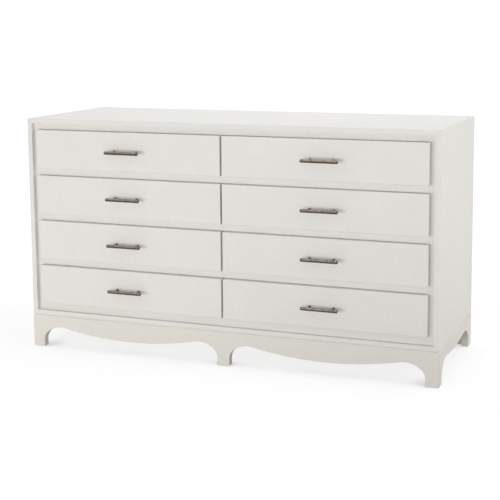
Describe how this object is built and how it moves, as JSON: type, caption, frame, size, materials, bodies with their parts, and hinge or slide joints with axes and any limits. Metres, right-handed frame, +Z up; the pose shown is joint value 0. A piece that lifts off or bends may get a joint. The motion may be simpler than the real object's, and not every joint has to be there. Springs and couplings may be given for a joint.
{
  "type": "dresser",
  "caption": "Wide low dresser in off-white lacquered linen, two columns of applied drawer fronts with cast bar pulls, on a scalloped bracket base.",
  "frame": {"origin": "on the floor, under the middle of the whole piece with its pulls", "axes": "+X to the right seen from the front, +Y to the back, +Z up; the drawers face -Y"},
  "size_m": [1.505, 0.594, 0.838],
  "materials": {
    "lacquered_linen": "satin lacquer over a fine linen wrap, off-white",
    "drawer_wood": "clear matt lacquer on pale hardwood",
    "core_wood": "bare planed softwood and plywood",
    "back_board": "painted thin plywood",
    "slide_steel": "zinc-plated rolled steel",
    "aged_bronze": "hammered, darkened bronze with rubbed high spots",
    "glide_plastic": "moulded nylon"
  },
  "bodies": {
    "case": {"top_panel": "lacquered_linen", "left_side_panel": "lacquered_linen", "right_side_panel": "lacquered_linen", "bottom_panel": "lacquered_linen", "back_panel": "back_board", "center_partition": "core_wood", "left_stile": "lacquered_linen", "right_stile": "lacquered_linen", "top_rail": "lacquered_linen", "bottom_rail": "lacquered_linen", "divider_rails": "lacquered_linen", "slide_packers": "core_wood", "case_slide_members": "slide_steel", "front_apron": "lacquered_linen", "left_apron": "lacquered_linen", "right_apron": "lacquered_linen", "rear_apron": "lacquered_linen", "foot_blocks": "lacquered_linen", "base_cleats": "core_wood", "floor_glides": "glide_plastic"},
    "row1_left_drawer": {"row1_left_drawer_front": "lacquered_linen", "row1_left_drawer_box": "drawer_wood", "row1_left_drawer_pull": "aged_bronze", "row1_left_drawer_slides": "slide_steel"},
    "row1_left_slide_middle": {"row1_left_middle_slides": "slide_steel"},
    "row1_right_drawer": {"row1_right_drawer_front": "lacquered_linen", "row1_right_drawer_box": "drawer_wood", "row1_right_drawer_pull": "aged_bronze", "row1_right_drawer_slides": "slide_steel"},
    "row1_right_slide_middle": {"row1_right_middle_slides": "slide_steel"},
    "row2_left_drawer": {"row2_left_drawer_front": "lacquered_linen", "row2_left_drawer_box": "drawer_wood", "row2_left_drawer_pull": "aged_bronze", "row2_left_drawer_slides": "slide_steel"},
    "row2_left_slide_middle": {"row2_left_middle_slides": "slide_steel"},
    "row2_right_drawer": {"row2_right_drawer_front": "lacquered_linen", "row2_right_drawer_box": "drawer_wood", "row2_right_drawer_pull": "aged_bronze", "row2_right_drawer_slides": "slide_steel"},
    "row2_right_slide_middle": {"row2_right_middle_slides": "slide_steel"},
    "row3_left_drawer": {"row3_left_drawer_front": "lacquered_linen", "row3_left_drawer_box": "drawer_wood", "row3_left_drawer_pull": "aged_bronze", "row3_left_drawer_slides": "slide_steel"},
    "row3_left_slide_middle": {"row3_left_middle_slides": "slide_steel"},
    "row3_right_drawer": {"row3_right_drawer_front": "lacquered_linen", "row3_right_drawer_box": "drawer_wood", "row3_right_drawer_pull": "aged_bronze", "row3_right_drawer_slides": "slide_steel"},
    "row3_right_slide_middle": {"row3_right_middle_slides": "slide_steel"},
    "row4_left_drawer": {"row4_left_drawer_front": "lacquered_linen", "row4_left_drawer_box": "drawer_wood", "row4_left_drawer_pull": "aged_bronze", "row4_left_drawer_slides": "slide_steel"},
    "row4_left_slide_middle": {"row4_left_middle_slides": "slide_steel"},
    "row4_right_drawer": {"row4_right_drawer_front": "lacquered_linen", "row4_right_drawer_box": "drawer_wood", "row4_right_drawer_pull": "aged_bronze", "row4_right_drawer_slides": "slide_steel"},
    "row4_right_slide_middle": {"row4_right_middle_slides": "slide_steel"}
  },
  "joints": [
    {"name": "row1_left_drawer_slide", "type": "slide", "parent": "case", "child": "row1_left_drawer", "axis": [0, -1, 0], "range_m": [0, 0.4]},
    {"name": "row1_left_middle_slide", "type": "slide", "parent": "case", "child": "row1_left_slide_middle", "axis": [0, -1, 0], "range_m": [0, 0.2]},
    {"name": "row1_right_drawer_slide", "type": "slide", "parent": "case", "child": "row1_right_drawer", "axis": [0, -1, 0], "range_m": [0, 0.4]},
    {"name": "row1_right_middle_slide", "type": "slide", "parent": "case", "child": "row1_right_slide_middle", "axis": [0, -1, 0], "range_m": [0, 0.2]},
    {"name": "row2_left_drawer_slide", "type": "slide", "parent": "case", "child": "row2_left_drawer", "axis": [0, -1, 0], "range_m": [0, 0.4]},
    {"name": "row2_left_middle_slide", "type": "slide", "parent": "case", "child": "row2_left_slide_middle", "axis": [0, -1, 0], "range_m": [0, 0.2]},
    {"name": "row2_right_drawer_slide", "type": "slide", "parent": "case", "child": "row2_right_drawer", "axis": [0, -1, 0], "range_m": [0, 0.4]},
    {"name": "row2_right_middle_slide", "type": "slide", "parent": "case", "child": "row2_right_slide_middle", "axis": [0, -1, 0], "range_m": [0, 0.2]},
    {"name": "row3_left_drawer_slide", "type": "slide", "parent": "case", "child": "row3_left_drawer", "axis": [0, -1, 0], "range_m": [0, 0.4]},
    {"name": "row3_left_middle_slide", "type": "slide", "parent": "case", "child": "row3_left_slide_middle", "axis": [0, -1, 0], "range_m": [0, 0.2]},
    {"name": "row3_right_drawer_slide", "type": "slide", "parent": "case", "child": "row3_right_drawer", "axis": [0, -1, 0], "range_m": [0, 0.4]},
    {"name": "row3_right_middle_slide", "type": "slide", "parent": "case", "child": "row3_right_slide_middle", "axis": [0, -1, 0], "range_m": [0, 0.2]},
    {"name": "row4_left_drawer_slide", "type": "slide", "parent": "case", "child": "row4_left_drawer", "axis": [0, -1, 0], "range_m": [0, 0.4]},
    {"name": "row4_left_middle_slide", "type": "slide", "parent": "case", "child": "row4_left_slide_middle", "axis": [0, -1, 0], "range_m": [0, 0.2]},
    {"name": "row4_right_drawer_slide", "type": "slide", "parent": "case", "child": "row4_right_drawer", "axis": [0, -1, 0], "range_m": [0, 0.4]},
    {"name": "row4_right_middle_slide", "type": "slide", "parent": "case", "child": "row4_right_slide_middle", "axis": [0, -1, 0], "range_m": [0, 0.2]}
  ],
  "couplings": [
    {"joint": "row1_left_middle_slide", "follows": "row1_left_drawer_slide", "ratio": 0.5},
    {"joint": "row1_right_middle_slide", "follows": "row1_right_drawer_slide", "ratio": 0.5},
    {"joint": "row2_left_middle_slide", "follows": "row2_left_drawer_slide", "ratio": 0.5},
    {"joint": "row2_right_middle_slide", "follows": "row2_right_drawer_slide", "ratio": 0.5},
    {"joint": "row3_left_middle_slide", "follows": "row3_left_drawer_slide", "ratio": 0.5},
    {"joint": "row3_right_middle_slide", "follows": "row3_right_drawer_slide", "ratio": 0.5},
    {"joint": "row4_left_middle_slide", "follows": "row4_left_drawer_slide", "ratio": 0.5},
    {"joint": "row4_right_middle_slide", "follows": "row4_right_drawer_slide", "ratio": 0.5}
  ]
}
